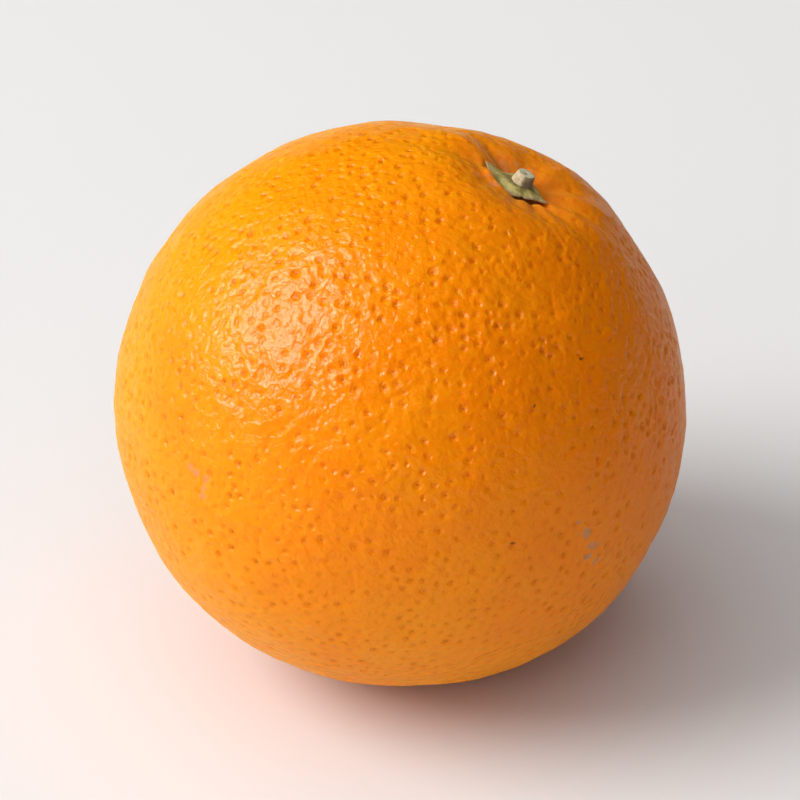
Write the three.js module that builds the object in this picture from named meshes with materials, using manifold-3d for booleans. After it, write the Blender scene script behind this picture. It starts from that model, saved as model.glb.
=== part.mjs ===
// A whole orange, lying on the small flat spot that its own weight presses into the rind.
// Three pieces: the fruit, the star-shaped calyx in its stem cavity, and the clipped stem on the calyx.
// Millimetres, +Z up, the surface that the fruit lies on at z = 0.

import * as THREE from "three";
import { mergeVertices } from "three/addons/utils/BufferGeometryUtils.js";
import Module from "manifold-3d";

const wasm = await Module();
wasm.setup();

// The fruit.
const FRUIT_WIDTH = 76.2; // across its middle
const FRUIT_HEIGHT = 74.6; // from stem end to blossom end, before the two hollows
const STEM_END_LEAN = 25; // degrees that the stem end leans from +Z towards +X
const REST_SPOT_RADIUS = 6.5;
const STEM_CAVITY = { depth: 2.5, reach: 6 };
const STEM_SHOULDER = { height: 0.45, out: 12, reach: 4.5 };
const BLOSSOM_HOLLOW = { depth: 0.7, reach: 5 };

// Its broad swellings and flats: the way each faces, in degrees round from +X towards +Y and degrees
// above level, its height, and the angle over which it fades.
const SWELLINGS = [
  { round: 326, above: -43, height: 0.6, fade: 20 },
  { round: 220, above: -30, height: 0.5, fade: 25 },
  { round: 180, above: 2, height: 0.45, fade: 16 },
  { round: 100, above: 30, height: 0.5, fade: 18 },
  { round: 64, above: 56, height: -0.4, fade: 13 },
  { round: 33, above: 43, height: 0.8, fade: 13 },
];

// The calyx: its lobes' bearings, in degrees round the stem from the way that it leans, how far they
// reach from the stem's axis, and the degrees from its bearing over which each tapers to its point.
const CALYX_LOBES = [
  { bearing: -34, reach: 4.2, taper: 20 },
  { bearing: -84, reach: 4.1, taper: 26 },
  { bearing: -126, reach: 3.7, taper: 26 },
  { bearing: 170, reach: 5.4, taper: 24 },
  { bearing: 65, reach: 3.2, taper: 26 },
];
const CALYX_HUB_RADIUS = 2;
const CALYX_THICKNESS = { hub: 1.15, rim: 0.4 };

// The clipped stem, as distances out from its axis and up from its foot.
const STEM_OUTLINE = [
  [0, 0],
  [1.65, 0],
  [1.6, 0.25],
  [1.42, 0.65],
  [1.28, 1],
  [1.18, 1.2],
  [1.05, 1.25],
  [0, 1.25],
];

const CLEARANCE = 0.35; // between pieces that grow together
const FRUIT_STEPS = { round: 64, along: 44 };
const CALYX_STEPS = { round: 60, out: [0, 0.3, 0.55, 0.8, 1] };
const STEM_STEPS = 24;

const { degToRad, radToDeg, lerp } = THREE.MathUtils;
const hump = (distance, reach) => Math.exp(-((distance / reach) ** 2));

// Moves every vertex of a geometry whose own axis is turned from three's +Y to +Z.
function shaped(geometry, move) {
  const upright = geometry.rotateX(Math.PI / 2);
  const position = upright.getAttribute("position");
  const point = new THREE.Vector3();
  for (let i = 0; i < position.count; i++) {
    move(point.fromBufferAttribute(position, i));
    position.setXYZ(i, point.x, point.y, point.z);
  }
  upright.computeVertexNormals();
  return upright;
}

// How far the rind is from the fruit's middle, at an angle from the stem end.
function rindRadius(angle) {
  const half = FRUIT_WIDTH / 2;
  const halfHeight = FRUIT_HEIGHT / 2;
  const oval = (half * halfHeight) / Math.hypot(halfHeight * Math.sin(angle), half * Math.cos(angle));
  const fromStem = half * angle;
  const fromBlossomEnd = half * (Math.PI - angle);
  const cavity = STEM_CAVITY.depth * hump(fromStem, STEM_CAVITY.reach);
  const shoulder = STEM_SHOULDER.height * hump(fromStem - STEM_SHOULDER.out, STEM_SHOULDER.reach);
  const hollow = BLOSSOM_HOLLOW.depth * hump(fromBlossomEnd, BLOSSOM_HOLLOW.reach);
  return oval - cavity + shoulder - hollow;
}

// The rind's height along the fruit's own axis, at a short distance out from the stem.
function cavityHeight(out) {
  const angle = out / (FRUIT_HEIGHT / 2 - STEM_CAVITY.depth);
  return rindRadius(angle) * Math.cos(angle);
}

function swelling(facing) {
  let height = 0;
  for (const swell of SWELLINGS) {
    const level = Math.cos(degToRad(swell.above));
    const peak = new THREE.Vector3(
      level * Math.cos(degToRad(swell.round)),
      level * Math.sin(degToRad(swell.round)),
      Math.sin(degToRad(swell.above)),
    );
    height += swell.height * hump(radToDeg(facing.angleTo(peak)), swell.fade);
  }
  return height;
}

// Cuts away everything that is lower than a height.
function cutLevel(geometry, height) {
  const bare = geometry.clone();
  bare.deleteAttribute("normal");
  bare.deleteAttribute("uv");
  const merged = mergeVertices(bare, 1e-4);
  const mesh = new wasm.Mesh({
    numProp: 3,
    vertProperties: new Float32Array(merged.getAttribute("position").array),
    triVerts: new Uint32Array(merged.index.array),
  });
  const cut = new wasm.Manifold(mesh).trimByPlane([0, 0, 1], height).getMesh();
  const result = new THREE.BufferGeometry();
  result.setAttribute("position", new THREE.BufferAttribute(cut.vertProperties, 3));
  result.setIndex(new THREE.BufferAttribute(cut.triVerts, 1));
  result.computeVertexNormals();
  return result;
}

// A sphere whose rings are drawn towards both ends, pushed out to the rind, leaned over and laid down.
const lean = new THREE.Quaternion().setFromAxisAngle(new THREE.Vector3(0, 1, 0), degToRad(STEM_END_LEAN));
const ball = new THREE.SphereGeometry(1, FRUIT_STEPS.round, FRUIT_STEPS.along);
const wholeFruit = shaped(ball, (point) => {
  const evenAngle = Math.atan2(Math.hypot(point.x, point.y), point.z);
  const angle = evenAngle - 0.25 * Math.sin(2 * evenAngle);
  const round = Math.atan2(point.y, point.x);
  point.set(Math.sin(angle) * Math.cos(round), Math.sin(angle) * Math.sin(round), Math.cos(angle));
  point.applyQuaternion(lean);
  point.multiplyScalar(rindRadius(angle) + swelling(point));
});
wholeFruit.computeBoundingBox();
const restHeight = wholeFruit.boundingBox.min.z + REST_SPOT_RADIUS ** 2 / FRUIT_WIDTH;
const fruitGeometry = cutLevel(wholeFruit, restHeight);

// How far the calyx reaches at a bearing: its hub, and each lobe drawn out to a point.
function calyxReach(bearing) {
  let reach = CALYX_HUB_RADIUS;
  for (const lobe of CALYX_LOBES) {
    const off = Math.abs(((bearing - lobe.bearing + 900) % 360) - 180);
    reach += (lobe.reach - CALYX_HUB_RADIUS) * Math.exp(-off / lobe.taper);
  }
  return reach;
}

// A disc whose rim is drawn out to the lobes, laid into the stem cavity and thinned towards its rim.
const discOutline = [
  ...CALYX_STEPS.out.map((out) => new THREE.Vector2(out, 0)),
  ...CALYX_STEPS.out.map((out) => new THREE.Vector2(out, 1)).reverse(),
];
const disc = new THREE.LatheGeometry(discOutline, CALYX_STEPS.round);
const calyxGeometry = shaped(disc, (point) => {
  const share = Math.hypot(point.x, point.y);
  const round = Math.atan2(point.y, point.x);
  const out = share * calyxReach(radToDeg(round));
  const thickness = point.z * lerp(CALYX_THICKNESS.hub, CALYX_THICKNESS.rim, share ** 1.5);
  point.set(out * Math.cos(round), out * Math.sin(round), cavityHeight(out) + CLEARANCE + thickness);
});

const stemFoot = cavityHeight(0) + CLEARANCE + CALYX_THICKNESS.hub + CLEARANCE;
const stemOutline = STEM_OUTLINE.map(([out, up]) => new THREE.Vector2(out, up + stemFoot));
const stemGeometry = new THREE.LatheGeometry(stemOutline, STEM_STEPS).rotateX(Math.PI / 2);

function piece(name, geometry, color, roughness) {
  const material = new THREE.MeshStandardMaterial({ color, roughness, metalness: 0 });
  const mesh = new THREE.Mesh(geometry, material);
  mesh.name = name;
  return mesh;
}

const fruit = piece("fruit", fruitGeometry, 0xf08a0c, 0.45);
const calyx = piece("calyx", calyxGeometry, 0x8f8f4a, 0.8);
const stem = piece("stem", stemGeometry, 0xb7ac86, 0.85);
calyx.quaternion.copy(lean);
stem.quaternion.copy(lean);

// The origin is under the middle of the whole thing, on the surface that it lies on.
const orange = new THREE.Group();
orange.add(fruit, calyx, stem);
const box = new THREE.Box3().setFromObject(orange, true);
const middle = box.getCenter(new THREE.Vector3());
for (const mesh of orange.children) {
  mesh.position.set(-middle.x, -middle.y, -box.min.z);
}

export default orange;
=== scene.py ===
import math
import random

import bpy
import numpy as np
from mathutils import Matrix, Vector, kdtree, noise


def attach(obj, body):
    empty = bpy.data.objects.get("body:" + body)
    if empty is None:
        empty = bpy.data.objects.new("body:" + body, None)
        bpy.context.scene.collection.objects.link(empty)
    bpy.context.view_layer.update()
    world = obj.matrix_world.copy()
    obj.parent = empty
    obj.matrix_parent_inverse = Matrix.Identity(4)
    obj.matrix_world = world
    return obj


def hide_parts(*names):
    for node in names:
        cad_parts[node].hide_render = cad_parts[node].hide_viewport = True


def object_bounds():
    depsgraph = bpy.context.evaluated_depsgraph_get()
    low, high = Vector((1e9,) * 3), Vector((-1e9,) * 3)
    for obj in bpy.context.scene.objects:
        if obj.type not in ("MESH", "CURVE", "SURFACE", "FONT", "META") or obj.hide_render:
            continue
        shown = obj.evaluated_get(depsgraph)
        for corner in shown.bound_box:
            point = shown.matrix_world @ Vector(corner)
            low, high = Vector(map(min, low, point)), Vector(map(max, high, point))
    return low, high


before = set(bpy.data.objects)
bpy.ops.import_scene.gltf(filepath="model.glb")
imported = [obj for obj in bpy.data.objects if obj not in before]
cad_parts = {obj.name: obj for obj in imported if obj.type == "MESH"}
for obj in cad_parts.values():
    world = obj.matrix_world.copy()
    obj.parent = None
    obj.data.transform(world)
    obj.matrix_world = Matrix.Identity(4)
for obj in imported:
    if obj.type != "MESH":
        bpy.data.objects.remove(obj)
cad_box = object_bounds()

# The fruit's form: a ripe orange grows as one round body, a little wider than it is tall, and lies on
# the flat spot that its weight presses into the rind. The frame gives its size, and the rind is
# stretched smooth over it.

STEM_LEAN = math.radians(25)  # from upright, towards +X
FORM_SMOOTHING = 2
MM = 0.001

bpy.ops.object.select_all(action="DESELECT")
form = bpy.data.objects.new("form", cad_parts["fruit"].data.copy())
bpy.context.scene.collection.objects.link(form)
bpy.context.view_layer.objects.active = form
form.select_set(True)
bpy.ops.object.mode_set(mode="EDIT")
bpy.ops.mesh.select_all(action="SELECT")
bpy.ops.mesh.remove_doubles(threshold=0.002 * MM)
bpy.ops.mesh.tris_convert_to_quads()
bpy.ops.object.mode_set(mode="OBJECT")
smoothing = form.modifiers.new("smoothing", "SUBSURF")
smoothing.levels = FORM_SMOOTHING
smoothing.render_levels = FORM_SMOOTHING
bpy.ops.object.modifier_apply(modifier=smoothing.name)

# The stem's own axis runs through the middle of the fruit.
stem_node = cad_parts["stem"].data
stem_up = Vector((math.sin(STEM_LEAN), 0, math.cos(STEM_LEAN)))
stem_side = Vector((0, 1, 0))
stem_front = Vector((math.cos(STEM_LEAN), 0, -math.sin(STEM_LEAN)))
stem_middle = sum((v.co for v in stem_node.vertices), Vector()) / len(stem_node.vertices)
stem_foot = stem_middle + stem_up * min((v.co - stem_middle).dot(stem_up) for v in stem_node.vertices)
half_height = cad_box[1].z / 2
middle = stem_foot - stem_up * ((stem_foot.z - half_height) / math.cos(STEM_LEAN))

# The rind: thousands of oil glands lie just under the skin, and each shows as a small pit in a shallow
# bowl. The glands are spread over a ball as evenly as they crowd each other, the skin between them is
# drawn tight from gland to gland, and the whole is laid over the form.

GLANDS = 5800
CROWDING_ROUNDS = 12
CROWDING_PUSH = 0.45
NEIGHBOURS = 8
FINE_ROUND_STEM = math.radians(12.5)  # how far from the stem the mesh is twice as fine

random.seed(11)
# How far apart they would be if they lay evenly over a ball of radius 1.
reach = math.sqrt(8 * math.pi / (GLANDS * math.sqrt(3)))
glands = []
for _ in range(GLANDS):
    up = random.uniform(-1, 1)
    turn = random.uniform(0, 2 * math.pi)
    out = math.sqrt(1 - up * up)
    glands.append(Vector((out * math.cos(turn), out * math.sin(turn), up)))
room = [random.uniform(0.78, 1.22) for _ in glands]
for _ in range(CROWDING_ROUNDS):
    near = kdtree.KDTree(GLANDS)
    for i, place in enumerate(glands):
        near.insert(place, i)
    near.balance()
    moved = []
    for i, place in enumerate(glands):
        push = Vector()
        for other, j, gap in near.find_n(place, NEIGHBOURS + 1):
            wanted = reach * (room[i] + room[j]) / 2
            if 0 < gap < wanted:
                push += (place - other) * (CROWDING_PUSH * (wanted - gap) / gap)
        moved.append((place + push).normalized())
    glands = moved

bpy.ops.object.select_all(action="DESELECT")
skin = bpy.data.meshes.new("rind")
skin.from_pydata([g * cad_box[1].z for g in glands], [], [])
rind = bpy.data.objects.new("rind", skin)
bpy.context.scene.collection.objects.link(rind)
bpy.context.view_layer.objects.active = rind
rind.select_set(True)
bpy.ops.object.mode_set(mode="EDIT")
bpy.ops.mesh.select_all(action="SELECT")
bpy.ops.mesh.convex_hull(join_triangles=False)
bpy.ops.mesh.select_all(action="SELECT")
bpy.ops.mesh.subdivide(number_cuts=3)
bpy.ops.mesh.select_all(action="DESELECT")
bpy.ops.object.mode_set(mode="OBJECT")
for v in skin.vertices:
    v.select = v.co.normalized().dot(stem_up) > math.cos(FINE_ROUND_STEM)
bpy.ops.object.mode_set(mode="EDIT")
bpy.ops.mesh.subdivide(number_cuts=1)
bpy.ops.mesh.select_all(action="SELECT")
bpy.ops.mesh.quads_convert_to_tris()
bpy.ops.mesh.normals_make_consistent(inside=False)
bpy.ops.object.mode_set(mode="OBJECT")
for v in skin.vertices:
    v.co = middle + v.co.normalized() * cad_box[1].z
skin.update()
laying = rind.modifiers.new("laying", "SHRINKWRAP")
laying.target = form
laying.wrap_method = "PROJECT"
laying.use_negative_direction = True
laying.use_positive_direction = False
bpy.ops.object.modifier_apply(modifier=laying.name)
bpy.data.objects.remove(form)
bpy.ops.object.shade_smooth()



def read_vectors(items, name):
    """One row for the vector that each of a mesh's items holds under a name."""
    values = np.empty(len(items) * 3, np.float32)
    items.foreach_get(name, values)
    return values.reshape(-1, 3).astype(float)


# Each gland has a size, a depth and a slightly oval outline of its own.
middle_at = np.array(middle)
place = read_vectors(skin.vertices, "co")
facing = read_vectors(skin.vertex_normals, "vector")
directions = place - middle_at
directions /= np.linalg.norm(directions, axis=1)[:, None]
near = kdtree.KDTree(GLANDS)
for i, gland in enumerate(glands):
    near.insert(gland, i)
near.balance()
owner = np.array([near.find(d)[1] for d in directions])
gland_at = np.zeros((GLANDS, 3))
gland_facing = np.zeros((GLANDS, 3))
closeness = np.einsum("ij,ij->i", directions, np.array(glands)[owner])
for vertex in np.argsort(closeness):
    gland_at[owner[vertex]] = place[vertex]
    gland_facing[owner[vertex]] = facing[vertex]
dice = np.random.default_rng(4)
gland_size = dice.uniform(0.75, 1.25, GLANDS)
gland_depth = dice.uniform(0.15, 1.15, GLANDS) ** 1.3 * 1.2 * gland_size
gland_oval = dice.uniform(0.72, 1.0, GLANDS)
turn = dice.uniform(0, math.pi, GLANDS)
SKEW = (0.3, 0.5, 0.81)  # no gland faces quite this way
any_side = np.cross(gland_facing, SKEW)
any_side /= np.linalg.norm(any_side, axis=1)[:, None]
other_side = np.cross(gland_facing, any_side)
gland_long = any_side * np.cos(turn)[:, None] + other_side * np.sin(turn)[:, None]
gland_short = np.cross(gland_facing, gland_long)


def from_gland(points, which):
    """Where points are seen from their glands, in millimetres, as if each gland were round and alike."""
    off = (points - gland_at[which]) / MM
    along = np.einsum("ij,ij->i", off, gland_long[which]) / gland_size[which]
    across = np.einsum("ij,ij->i", off, gland_short[which]) / (gland_size[which] * gland_oval[which])
    return along, across


# Around the stem, in millimetres out from its axis and degrees round it from the way that it leans.
off_axis = (place - np.array(stem_foot)) / MM
stem_x = off_axis @ np.array(stem_front)
stem_y = off_axis @ np.array(stem_side)
stem_rise = off_axis @ np.array(stem_up)
stem_out = np.hypot(stem_x, stem_y)
stem_out[stem_rise < -20] = 99  # the far side of the fruit
stem_turn = np.degrees(np.arctan2(stem_y, stem_x))


def turned_from(turn, bearing):
    """How many degrees a turn is past a bearing, from -180 to 180."""
    return (turn - bearing + 180) % 360 - 180


def hump(distance, reach, power=2):
    """A swelling that is 1 high at no distance and fades out past its reach."""
    return np.exp(-((distance / reach) ** power))



# The skin puckers into folds that run out from the calyx: bearing, height, width and how far out.
FOLDS = [
    (172, -0.34, 1.1, 14.0),
    (148, 0.50, 1.6, 15.0),
    (-165, 0.20, 1.6, 11.0),
    (124, -0.50, 1.6, 9.0),
    (105, 0.22, 2.0, 12.0),
    (75, -0.20, 1.8, 11.0),
    (52, 0.34, 1.6, 13.0),
    (27, -0.34, 1.3, 13.0),
    (8, 0.28, 1.1, 14.0),
    (-10, -0.26, 1.0, 13.0),
    (-26, 0.24, 0.9, 13.0),
    (-42, -0.24, 0.8, 11.0),
    (-58, 0.26, 0.6, 8.5),
    (-72, -0.22, 0.8, 8.0),
    (-88, 0.20, 0.8, 8.0),
    (-104, -0.20, 0.9, 8.0),
    (-122, 0.16, 1.2, 9.0),
    (-142, -0.14, 1.2, 9.0),
]
folds = np.zeros(len(place))
for bearing, height, width, far in FOLDS:
    off = turned_from(stem_turn, bearing)
    across = np.radians(off) * np.minimum(stem_out, far)
    fade = np.clip((stem_out - 2.0) / 2.5, 0, 1) * hump(stem_out, far, 4)
    folds += height * hump(across, width) * fade * (np.abs(off) < 90)

# The calyx lies in a crease, and on the lower side the rind swells up against its edge: how far it
# reaches from the stem's axis at each bearing.
CALYX_EDGE = [
    (-180, 4.5),
    (-170, 4.3),
    (-158, 4.2),
    (-140, 4.0),
    (-122, 3.8),
    (-108, 3.8),
    (-95, 3.5),
    (-88, 3.1),
    (-79, 3.4),
    (-62, 3.3),
    (-46, 3.5),
    (-33, 4.4),
    (-24, 3.6),
    (-8, 2.7),
    (14, 2.0),
    (40, 2.0),
    (65, 2.6),
    (90, 2.8),
    (112, 2.5),
    (135, 2.4),
    (146, 2.9),
    (152, 4.0),
    (157, 5.7),
    (161, 5.2),
    (168, 4.8),
    (180, 4.5),
]
edge_bearing = [bearing for bearing, _ in CALYX_EDGE]
edge_reach = [far for _, far in CALYX_EDGE]
past_edge = stem_out - np.interp(stem_turn, edge_bearing, edge_reach)
lip_side = hump(turned_from(stem_turn, -155), 38)
gap_side = hump(turned_from(stem_turn, -85), 48)
under_edge = 1 / (1 + np.exp(np.clip(past_edge / 0.15, -50, 50)))
crease = -0.35 * under_edge * np.clip((5.2 - stem_out) / 1.4, 0, 1)
SWELLS = [  # height, how far past the calyx's edge, width, and the side that it is on
    (-0.85, 0.0, 0.42, gap_side),
    (-0.50, 0.05, 0.28, lip_side),
    (0.72, 0.85, 0.65, lip_side),
    (0.20, 1.4, 0.8, gap_side),
]
for height, past, width, side in SWELLS:
    crease += height * hump(past_edge - past, width) * side

# Fine streaks run out from it where the skin is drawn together.
STREAKS_ROUND = 5.0
STREAK_LENGTH = 7
streaks = np.array(
    [
        noise.noise(
            Vector(
                (
                    math.cos(turn) * STREAKS_ROUND,
                    math.sin(turn) * STREAKS_ROUND,
                    out / STREAK_LENGTH,
                )
            )
        )
        for turn, out in zip(np.radians(stem_turn), stem_out)
    ]
)
streaks *= 0.10 * np.clip((stem_out - 2.5) / 2, 0, 1) * hump(stem_out, 13, 3)

# The skin is a little uneven all over, in lumps of three sizes.
LUMPS = [(0.20, 11), (0.13, 4.2), (0.07, 1.9)]  # height and size
lumps = np.array(
    [sum(high * noise.noise(Vector(p) / (size * MM)) for high, size in LUMPS) for p in place]
)

# Each gland lies in a bowl. Close round the stem the skin is drawn tight and the bowls fade out.
BOWL_DEPTH = 0.13
BOWL_RADIUS = 0.52
along, across = from_gland(place, owner)
drawn_slack = np.clip((stem_out - 4) / 9, 0.06, 1)
bowls = -BOWL_DEPTH * gland_depth[owner] * hump(np.hypot(along, across), BOWL_RADIUS) * drawn_slack

# A shallow groove where a twig has pressed, on the upper left: its bearing, how far above level its
# middle is, and half its length, in degrees, then its depth and half its width.
MM_A_DEGREE = 0.66
GROOVE = {"bearing": -116.5, "above": 53.5, "half_length": 4.5, "depth": 0.14, "half_width": 0.55}
turn_round = np.degrees(np.arctan2(directions[:, 1], directions[:, 0]))
above = np.degrees(np.arcsin(directions[:, 2]))
sideways = (turn_round - GROOVE["bearing"]) * np.cos(np.radians(above)) * MM_A_DEGREE
endways = np.clip(np.abs(above - GROOVE["above"]) - GROOVE["half_length"], 0, None) * MM_A_DEGREE
groove = -GROOVE["depth"] * hump(sideways, GROOVE["half_width"]) * hump(endways, 0.9)

# The blossom end: a small round scar in a faint hollow, opposite the stem.
SCAR_RADIUS = 2.1
from_blossom_end = np.arccos(np.clip(-(directions @ np.array(stem_up)), -1, 1))
blossom = np.degrees(from_blossom_end) * MM_A_DEGREE
scar = 0.16 * hump(blossom - SCAR_RADIUS, 0.5) - 0.3 * hump(blossom, 1.6)

uneven = lumps * (0.4 + 0.6 * drawn_slack)
height = folds + crease + streaks + uneven + bowls + groove + scar
place += facing * (height * MM)[:, None]
place[:, 2] = np.maximum(place[:, 2], 0)
skin.vertices.foreach_set("co", place.astype(np.float32).ravel())
skin.update()

# Healed marks, by bearing, degrees above level and width in millimetres: a chain of corky rubs low on
# the front right, and a faint scuff on the left.
RUBS = [
    (-54.9, 1.3, 0.6),
    (-53.0, -1.6, 1.1),
    (-51.7, -5.0, 0.8),
    (-52.2, -7.5, 0.9),
    (-49.6, -9.9, 0.8),
    (-48.5, -6.0, 0.6),
    (-50.2, -5.4, 0.5),
]
SCUFFS = [
    (-135.4, 9.3, 1.0),
    (-133.3, 8.9, 0.9),
    (-130.6, 8.7, 0.8),
    (-131.2, 6.6, 0.7),
    (-131.4, 5.0, 0.9),
]
RIND_RADIUS = 38


def pointing(bearing, above):
    """A step of length 1 towards a bearing, some degrees above level."""
    turn = math.radians(bearing)
    rise = math.radians(above)
    return math.cos(rise) * math.cos(turn), math.cos(rise) * math.sin(turn), math.sin(rise)


def worn(spots):
    """How worn each vertex is by a list of spots."""
    wear = np.zeros(len(place))
    for bearing, rise, width in spots:
        away = np.linalg.norm(directions - np.array(pointing(bearing, rise)), axis=1)
        wear = np.maximum(wear, hump(away * RIND_RADIUS, width))
    return wear


# Round the calyx the rind is browner, and one patch beside it is painted darker as painted shade on the
# far wall of the hollow; the tops of the streaks are painted paler as a painted sheen.
painted_dimple_shade = hump(np.hypot(stem_x + 2.5, stem_y - 3.7), 1.8)
browning_and_painted_shade = hump(stem_out, 6.5) + 0.8 * painted_dimple_shade
painted_ridge_sheen = np.clip(streaks / 0.03, 0, 1) * hump(stem_out, 10, 4) * 0.75
scuffs_and_painted_sheen = np.maximum(worn(SCUFFS), painted_ridge_sheen)
marks = np.stack([worn(RUBS), scuffs_and_painted_sheen, browning_and_painted_shade], axis=1)
marks_layer = skin.attributes.new("marks", "FLOAT_VECTOR", "POINT")
marks_layer.data.foreach_set("vector", marks.astype(np.float32).ravel())

# Small dark specks where insects have stung, and painted shade: a dark band along the crevice under the
# calyx's edge.
STINGS = [(-45.9, 32.0, 0.34), (-61.2, 26.7, 0.28), (-69.0, 1.0, 0.32)]
specks_and_painted_shade = hump(past_edge + 0.1, 0.42) * np.maximum(gap_side, lip_side * 0.6)
specks_and_shade_layer = skin.attributes.new("specks_and_painted_shade", "FLOAT", "POINT")
specks_and_shade_layer.data.foreach_set("value", np.maximum(worn(STINGS), specks_and_painted_shade).astype(np.float32))

# Each face is told where it lies from its own gland, so that the gland's pore can be drawn round.
corners = np.empty(len(skin.loops), np.int32)
skin.loops.foreach_get("vertex_index", corners)
face_middle = place[corners].reshape(-1, 3, 3).mean(axis=1) - middle_at
face_middle /= np.linalg.norm(face_middle, axis=1)[:, None]
face_owner = np.array([near.find(d)[1] for d in face_middle])
corner_owner = np.repeat(face_owner, 3)
along, across = from_gland(place[corners], corner_owner)
told = np.stack([along, across, gland_depth[corner_owner] * drawn_slack[corners]], axis=1)
gland_layer = skin.attributes.new("gland", "FLOAT_VECTOR", "CORNER")
gland_layer.data.foreach_set("vector", told.astype(np.float32).ravel())


class Wire:
    """A value in a material. Sums, products and powers of values add the Math nodes for them."""

    def __init__(self, tree, socket=None):
        self.tree = tree
        self.socket = socket

    def node(self, kind, settings, sockets, out=0):
        """Adds a node of a kind, with its settings first, and gives the value that it puts out."""
        made = self.tree.nodes.new(kind)
        for name, value in settings.items():
            setattr(made, name, value)
        for name, value in sockets.items():
            if isinstance(value, Wire):
                self.tree.links.new(value.socket, made.inputs[name])
            else:
                made.inputs[name].default_value = value
        return Wire(self.tree, made.outputs[out] if made.outputs else None)

    def maths(self, operation, *values):
        return self.node("ShaderNodeMath", {"operation": operation}, dict(enumerate(values)))

    def __add__(self, other):
        return self.maths("ADD", self, other)

    __radd__ = __add__

    def __mul__(self, other):
        return self.maths("MULTIPLY", self, other)

    __rmul__ = __mul__

    def __sub__(self, other):
        return self.maths("SUBTRACT", self, other)

    def __rsub__(self, other):
        return self.maths("SUBTRACT", other, self)

    def __pow__(self, other):
        return self.maths("POWER", self, other)


def start_material(name):
    """An empty material and the wire that its nodes are made with."""
    material = bpy.data.materials.new(name)
    material.use_nodes = True
    material.node_tree.nodes.clear()
    return material, Wire(material.node_tree)


def ease(value, low, high, bottom=0.0, top=1.0):
    """Eases from bottom to top as a value goes from low to high."""
    sockets = {"Value": value, 1: low, 2: high, 3: bottom, 4: top}
    return value.node("ShaderNodeMapRange", {"interpolation_type": "SMOOTHSTEP"}, sockets)


def scaled(vector, scale):
    """A vector times a number."""
    sockets = {0: vector, "Scale": scale}
    return vector.node("ShaderNodeVectorMath", {"operation": "SCALE"}, sockets)


def parts_of(vector):
    """A vector's three numbers."""
    split = vector.node("ShaderNodeSeparateXYZ", {}, {"Vector": vector})
    return [Wire(vector.tree, socket) for socket in split.socket.node.outputs]


def tint(share, first, second):
    """Mixes two colours by a share."""
    return share.node("ShaderNodeMix", {"data_type": "RGBA"}, {0: share, 6: first, 7: second}, 2)


def finish_material(wire, sockets):
    """Ends a material in one surface."""
    shader = wire.node("ShaderNodeBsdfPrincipled", {}, sockets)
    wire.node("ShaderNodeOutputMaterial", {}, {"Surface": shader})


def in_millimetres(wire):
    """Where a point of the object is, in millimetres."""
    return scaled(wire.node("ShaderNodeTexCoord", {}, {}, "Object"), 1 / MM)


def speckle(at, scale, detail=2.0, rough=0.5, distortion=0.0):
    """Cloudy noise with about that many lumps to the millimetre."""
    sockets = {
        "Vector": at,
        "Scale": scale,
        "Detail": detail,
        "Roughness": rough,
        "Distortion": distortion,
    }
    return at.node("ShaderNodeTexNoise", {}, sockets)


# The rind's finish is waxy and a little translucent: a deep even orange that is darker in the pores and
# duller in the hollow round the stem, with a few healed rubs. Shade beside and under the calyx, and
# sheen on the streaks round it, are painted into the colour.
rind_finish, wire = start_material("waxy_rind")
at = in_millimetres(wire)
gland = wire.node("ShaderNodeAttribute", {"attribute_name": "gland"}, {}, "Vector")
gland_x, gland_y, strength = parts_of(gland)
ragged = speckle(at, 2.6, 2.0)
from_pore = (gland_x * gland_x + gland_y * gland_y) ** 0.5 + (ragged - 0.5) * 0.5
pore = ease(from_pore, 0.04, 0.26, 1.0, 0.0) * strength
bowl = ease(from_pore, 0.22, 0.66, 1.0, 0.0) * strength

broad = speckle(at, 0.06, 3.0)
fine = speckle(at, 1.1, 3.0, 0.6)
grain = speckle(at, 3.4, 2.0, 0.6)
colour = tint(ease(broad, 0.35, 0.65), (0.93, 0.255, 0.001, 1), (0.97, 0.295, 0.002, 1))
colour = tint(ease(fine, 0.35, 0.75) * 0.35, colour, (0.98, 0.34, 0.004, 1))
colour = tint(ease(grain, 0.30, 0.62, 1.0, 0.0) * 0.18, colour, (0.88, 0.19, 0.001, 1))
# The right side, turned from the window, is painted a deeper orange as painted shade.
colour = tint(ease(parts_of(at)[0], 0.0, 40.0, 0.0, 0.7), colour, (0.84, 0.165, 0.001, 1))
colour = tint(bowl * 0.18, colour, (0.84, 0.16, 0.001, 1))
colour = tint(pore * 0.42, colour, (0.48, 0.08, 0.002, 1))

marks = wire.node("ShaderNodeAttribute", {"attribute_name": "marks"}, {}, "Vector")
rub, scuff_and_ridge_sheen, stem_browning_and_shade = parts_of(marks)
rub = ease(rub + (speckle(at, 1.3, 3.0, 0.7) - 0.5) * 2.2, 0.45, 0.95)
scuff_and_ridge_sheen = ease(scuff_and_ridge_sheen + (speckle(at, 1.1, 3.0, 0.6) - 0.5) * 1.6, 0.45, 1.0)
# Painted shade in part: the rind round the calyx is browner, and one patch beside it is painted darker
# as shade.
colour = tint(stem_browning_and_shade * 0.55, colour, (0.62, 0.19, 0.035, 1))
# Painted sheen in part: besides the real scuffs, the tops of the streaks round the calyx are painted
# paler.
colour = tint(scuff_and_ridge_sheen * 0.75, colour, (0.72, 0.25, 0.10, 1))
colour = tint(rub * 0.80, colour, (0.52, 0.26, 0.12, 1))

specks_and_painted_shade = wire.node("ShaderNodeAttribute", {"attribute_name": "specks_and_painted_shade"}, {}, "Fac")
# Painted shade: the crevice under the calyx's edge is painted near black, along with the real dark
# specks of the stings.
colour = tint(ease(specks_and_painted_shade, 0.25, 0.75) * 0.90, colour, (0.11, 0.035, 0.01, 1))

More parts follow.
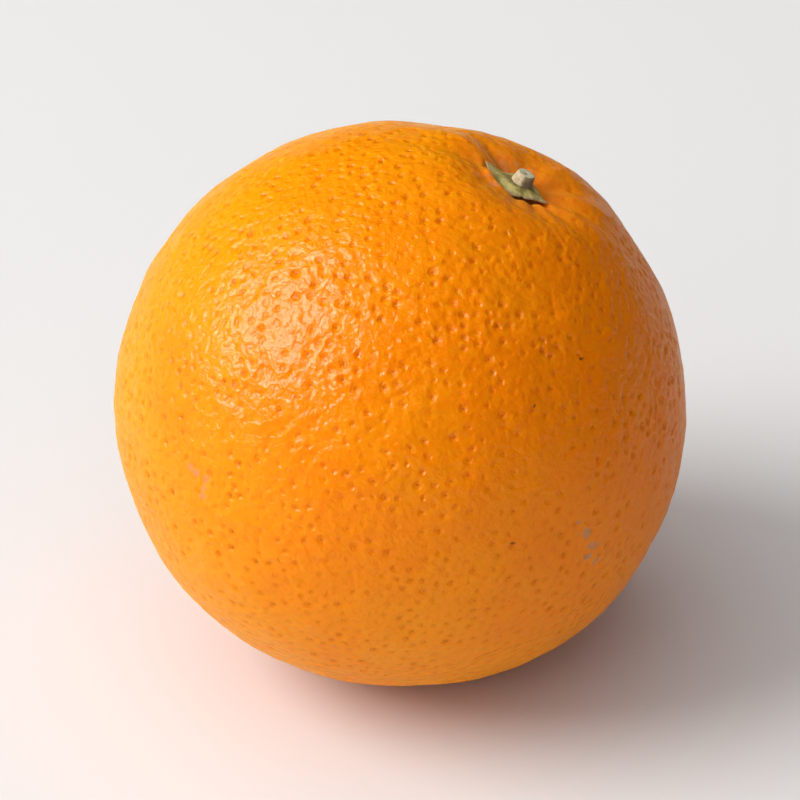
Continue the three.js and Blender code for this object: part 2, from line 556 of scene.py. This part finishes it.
wrinkles = speckle(at, 0.62, 1.5, 0.5, 0.3)
crumple = speckle(at, 1.7, 1.0, 0.5, 0.2)
sway = wire.node("ShaderNodeTexNoise", {}, {"Vector": at, "Scale": 1.6, "Detail": 1.0}, "Color")
bent = wire.node("ShaderNodeVectorMath", {"operation": "ADD"}, {0: at, 1: scaled(sway, 0.9)})
in_cells = {"feature": "DISTANCE_TO_EDGE"}
cells = wire.node("ShaderNodeTexVoronoi", in_cells, {"Vector": bent, "Scale": 1.5})
cracks = ease(cells, 0.0, 0.14, 1.0, 0.0)
height = (
    pore * -0.03
    + bowl * -0.12
    + (wrinkles * 0.42 + crumple * 0.13 + cracks * -0.010) * (1.0 - stem_browning_and_shade * 0.75)
)
# The flesh under the wax glows softly, and the wax on top shows every wrinkle sharply.
WAX_SHARE = 0.5
body = {
    "Base Color": colour,
    "Roughness": ease(fine, 0.3, 0.7, 0.18, 0.26),
    "IOR": 1.5,
    "Subsurface Weight": 0.85,
    "Subsurface Radius": (1.0, 0.4, 0.1),
    "Subsurface Scale": 0.0014,
}
shallow = wire.node("ShaderNodeBump", {}, {"Height": height, "Distance": MM, "Strength": 0.75})
sharp = wire.node("ShaderNodeBump", {}, {"Height": height, "Distance": MM, "Strength": 1.0})
flesh = wire.node(
    "ShaderNodeBsdfPrincipled", {}, {**body, "Normal": shallow, "Specular IOR Level": 0.0}
)
wax = wire.node(
    "ShaderNodeBsdfPrincipled", {}, {**body, "Normal": sharp, "Specular IOR Level": 0.29}
)
surface = wire.node("ShaderNodeMixShader", {}, {0: WAX_SHARE, 1: flesh, 2: wax})
wire.node("ShaderNodeOutputMaterial", {}, {"Surface": surface})
skin.materials.append(rind_finish)
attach(rind, "root")
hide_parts("fruit")

# The calyx: the five green sepals that held the flower, fused into a small leathery star. It has
# dried to olive, with brown edges that curl a little clear of the rind.

CALYX_RINGS = 14
CALYX_STEPS_ROUND = 144
CALYX_THICKNESS = 0.24
CALYX_OFF_RIND = 0.22
HUB_HEIGHT = 0.95
HUB_REACH = 2.5
LOBES = [(-165, 0.35), (-112, 0.45), (-55, 0.25), (70, 0.15)]  # bearing and how far each bulges

bpy.ops.object.select_all(action="DESELECT")
bpy.ops.mesh.primitive_circle_add(vertices=CALYX_STEPS_ROUND, radius=1.0)
calyx = bpy.context.active_object
calyx.name = "calyx_star"
bpy.ops.object.mode_set(mode="EDIT")
for ring in range(CALYX_RINGS, 1, -1):
    bpy.ops.mesh.extrude_region_move()
    shrink = (ring - 1) / ring
    bpy.ops.transform.resize(value=(shrink, shrink, 1))
bpy.ops.mesh.edge_face_add()
bpy.ops.mesh.poke()
bpy.ops.object.mode_set(mode="OBJECT")
star = calyx.data
# The form's height along the stem's axis, every half millimetre out from it.
rings_out = np.arange(0, 9, 0.5)
rind_level = [stem_rise[np.abs(stem_out - ring) < 0.45].mean() for ring in rings_out]
rim = star.attributes.new("rim", "FLOAT", "POINT")
for v in star.vertices:
    share = math.hypot(v.co.x, v.co.y)
    rim.data[v.index].value = share
    bearing = math.degrees(math.atan2(v.co.y, v.co.x))
    far = share * float(np.interp(bearing, edge_bearing, edge_reach))
    level = float(np.interp(far, rings_out, rind_level)) + CALYX_OFF_RIND
    level += HUB_HEIGHT * hump(far, HUB_REACH, 4)
    for lobe, bulge in LOBES:
        level += bulge * hump(turned_from(bearing, lobe), 24) * hump(far - 2.7, 0.8)
    level -= (0.02 + 0.48 * hump(turned_from(bearing, -150), 45)) * share**4
    spot = Vector(pointing(bearing, 0)) * far
    level += 0.10 * noise.noise(spot * 1.6) + 0.05 * noise.noise(spot * 4)
    v.co = (spot.x * MM, spot.y * MM, level * MM)
thick = calyx.modifiers.new("thick", "SOLIDIFY")
thick.thickness = CALYX_THICKNESS * MM
thick.offset = -1
bpy.ops.object.modifier_apply(modifier=thick.name)
soft = calyx.modifiers.new("soft", "SUBSURF")
soft.levels = 1
soft.render_levels = 1
bpy.ops.object.modifier_apply(modifier=soft.name)
bpy.ops.object.shade_smooth()
stem_space = Matrix.Translation(stem_foot) @ Matrix.Rotation(STEM_LEAN, 4, "Y")
star.transform(stem_space)

calyx_finish, wire = start_material("dried_sepal")
at = in_millimetres(wire)
patch = speckle(at, 0.6, 3.0, 0.6)
fleck = speckle(at, 3.0, 3.0, 0.6)
out = wire.node("ShaderNodeAttribute", {"attribute_name": "rim"}, {}, "Fac")
colour = tint(ease(patch, 0.35, 0.65), (0.32, 0.26, 0.055, 1), (0.62, 0.52, 0.17, 1))
colour = tint(ease(fleck, 0.45, 0.75) * 0.45, colour, (0.33, 0.22, 0.10, 1))
# Painted shade: the sepals are painted dark close round the stem's foot.
colour = tint(ease(out, 0.42, 0.66, 0.85, 0.0), colour, (0.20, 0.14, 0.045, 1))
colour = tint(ease(out + fleck * 0.3, 0.97, 1.12) * 0.7, colour, (0.38, 0.24, 0.14, 1))
bump = wire.node("ShaderNodeBump", {}, {"Height": fleck * 0.16 + patch * 0.3, "Distance": MM})
finish_material(
    wire, {"Base Color": colour, "Roughness": 0.65, "Specular IOR Level": 0.25, "Normal": bump}
)
star.materials.append(calyx_finish)
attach(calyx, "root")
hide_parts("calyx")

# The stem: a stub of woody twig left by the clippers, wider at its foot. Its bark has dried to a pale
# tan, and the cut shows cream wood with a dark dot of pith.

STEM_SIDE = [  # out from its axis, and up from the frame's own foot of the stem
    (1.72, -1.35),
    (1.66, -0.95),
    (1.56, -0.70),
    (1.45, -0.45),
    (1.36, -0.10),
    (1.31, 0.25),
    (1.27, 0.60),
    (1.23, 0.88),
    (1.17, 1.03),
    (1.06, 1.09),
    (0.60, 1.06),
    (0.28, 1.03),
    (0.16, 0.94),
    (0.10, 0.80),
]
STEM_STEPS_ROUND = 64

bpy.ops.object.select_all(action="DESELECT")
foot_radius, foot_height = STEM_SIDE[0]
bpy.ops.mesh.primitive_circle_add(
    vertices=STEM_STEPS_ROUND, radius=foot_radius * MM, location=(0, 0, foot_height * MM)
)
stub = bpy.context.active_object
stub.name = "clipped_stem"
bpy.ops.object.mode_set(mode="EDIT")
for (wide, low), (next_wide, next_low) in zip(STEM_SIDE, STEM_SIDE[1:]):
    bpy.ops.mesh.extrude_region_move(TRANSFORM_OT_translate={"value": (0, 0, (next_low - low) * MM)})
    bpy.ops.transform.resize(value=(next_wide / wide, next_wide / wide, 1))
bpy.ops.mesh.edge_face_add()
bpy.ops.mesh.poke()
bpy.ops.mesh.select_all(action="DESELECT")
bpy.ops.mesh.select_non_manifold()
bpy.ops.mesh.edge_face_add()
bpy.ops.mesh.poke()
bpy.ops.mesh.select_all(action="SELECT")
bpy.ops.mesh.normals_make_consistent(inside=False)
bpy.ops.object.mode_set(mode="OBJECT")
bpy.ops.object.transform_apply()
wood = stub.data
soft = stub.modifiers.new("soft", "SUBSURF")
soft.levels = 1
soft.render_levels = 1
bpy.ops.object.modifier_apply(modifier=soft.name)
for v in wood.vertices:
    spot = v.co / MM
    turn = math.atan2(spot.y, spot.x)
    ribs = Vector((math.cos(turn) * 2.2, math.sin(turn) * 2.2, spot.z * 0.5))
    fibres = Vector((math.cos(turn) * 6, math.sin(turn) * 6, spot.z * 0.8 + 5))
    grow = 0.06 * noise.noise(ribs) + 0.03 * noise.noise(fibres)
    v.co.x *= 1 + grow
    v.co.y *= 1 + grow
# Each vertex is told how far up and out it is, and how far round towards the side that is painted in
# shade.
cut = wood.attributes.new("cut", "FLOAT_VECTOR", "POINT")
for v, told_cut in zip(wood.vertices, cut.data):
    spot = v.co / MM
    told_cut.vector = (spot.z, math.hypot(spot.x, spot.y), spot.x - 0.6 * spot.y)
bpy.ops.object.shade_smooth()
wood.transform(stem_space)

stem_finish, wire = start_material("cut_twig")
at = in_millimetres(wire)
patch = speckle(at, 0.8, 3.0, 0.6)
fleck = speckle(at, 3.5, 3.0, 0.6)
cut = wire.node("ShaderNodeAttribute", {"attribute_name": "cut"}, {}, "Vector")
up, out, painted_shade_side = parts_of(cut)
colour = tint(ease(patch, 0.35, 0.65), (0.50, 0.37, 0.20, 1), (0.64, 0.53, 0.34, 1))
colour = tint(ease(fleck, 0.45, 0.70) * 0.6, colour, (0.30, 0.21, 0.09, 1))
# Painted shade: the bark is painted dark on the side turned from the window.
colour = tint(ease(painted_shade_side + fleck * 0.8, 0.5, 1.6, 0.0, 0.75), colour, (0.12, 0.09, 0.045, 1))
wood_colour = tint(ease(fleck, 0.40, 0.70), (0.66, 0.60, 0.40, 1), (0.44, 0.40, 0.25, 1))
cut_face = ease(up, 0.96, 1.04) * ease(out, 1.00, 1.14, 1.0, 0.0)
colour = tint(cut_face, colour, wood_colour)
pith = ease(up, 0.7, 0.9) * ease(out + fleck * 0.2, 0.20, 0.38, 0.8, 0.0)
colour = tint(pith, colour, (0.10, 0.08, 0.05, 1))
bump = wire.node("ShaderNodeBump", {}, {"Height": fleck * 0.08 + patch * 0.15, "Distance": MM})
finish_material(
    wire, {"Base Color": colour, "Roughness": 0.75, "Specular IOR Level": 0.2, "Normal": bump}
)
wood.materials.append(stem_finish)
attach(stub, "root")
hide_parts("stem")

# The stage: a broad pale table in soft daylight from a large window on the upper left and the bright
# wall beside it.

TABLE_RADIUS = 4
LIGHT_DISTANCE = 2.4
CAMERA_DISTANCE = 0.4
CAMERA_ABOVE = 31  # degrees above level
CAMERA_AIM = Vector((0, 0, 0.03735))

bpy.ops.object.select_all(action="DESELECT")
bpy.ops.mesh.primitive_circle_add(vertices=96, radius=TABLE_RADIUS, fill_type="NGON")
table = bpy.context.active_object
table.name = "table"
table_finish, wire = start_material("pale_table")
finish_material(wire, {"Base Color": (0.78, 0.77, 0.76, 1), "Specular IOR Level": 0.0})
table.data.materials.append(table_finish)


def soft_light(name, bearing, above, spread, power, glint=False):
    """A round soft light that faces the fruit from a bearing, some degrees above level.

    It lights matt surfaces, or with glint it is only seen mirrored in glossy ones.
    """
    lamp = bpy.data.lights.new(name, "AREA")
    lamp.shape = "DISK"
    lamp.size = 2 * LIGHT_DISTANCE * math.tan(math.radians(spread / 2))
    lamp.energy = power
    holder = bpy.data.objects.new(name, lamp)
    bpy.context.scene.collection.objects.link(holder)
    back = Vector(pointing(bearing, above))
    holder.location = middle + back * LIGHT_DISTANCE
    holder.visible_glossy = glint
    holder.visible_diffuse = not glint
    holder.rotation_euler = back.to_track_quat("Z", "Y").to_euler()


soft_light("window", 193, 41, 38, 47)
soft_light("window_glint", 194, 43, 42, 184, glint=True)
soft_light("bright_wall", 210, 55, 110, 108)
world = bpy.data.worlds.new("room")
world.use_nodes = True
world.node_tree.nodes["Background"].inputs["Color"].default_value = (0.95, 0.97, 1.0, 1)
world.node_tree.nodes["Background"].inputs["Strength"].default_value = 0.10
bpy.context.scene.world = world
world.cycles_visibility.glossy = False
bpy.context.scene.view_settings.view_transform = "Standard"

lens = bpy.data.cameras.new("camera")
lens.lens = 135
lens.sensor_width = 36
lens.clip_start = 0.01
camera = bpy.data.objects.new("camera", lens)
bpy.context.scene.collection.objects.link(camera)
back = Vector(pointing(-90, CAMERA_ABOVE))
camera.location = CAMERA_AIM + back * CAMERA_DISTANCE
camera.rotation_euler = back.to_track_quat("Z", "Y").to_euler()
bpy.context.scene.camera = camera
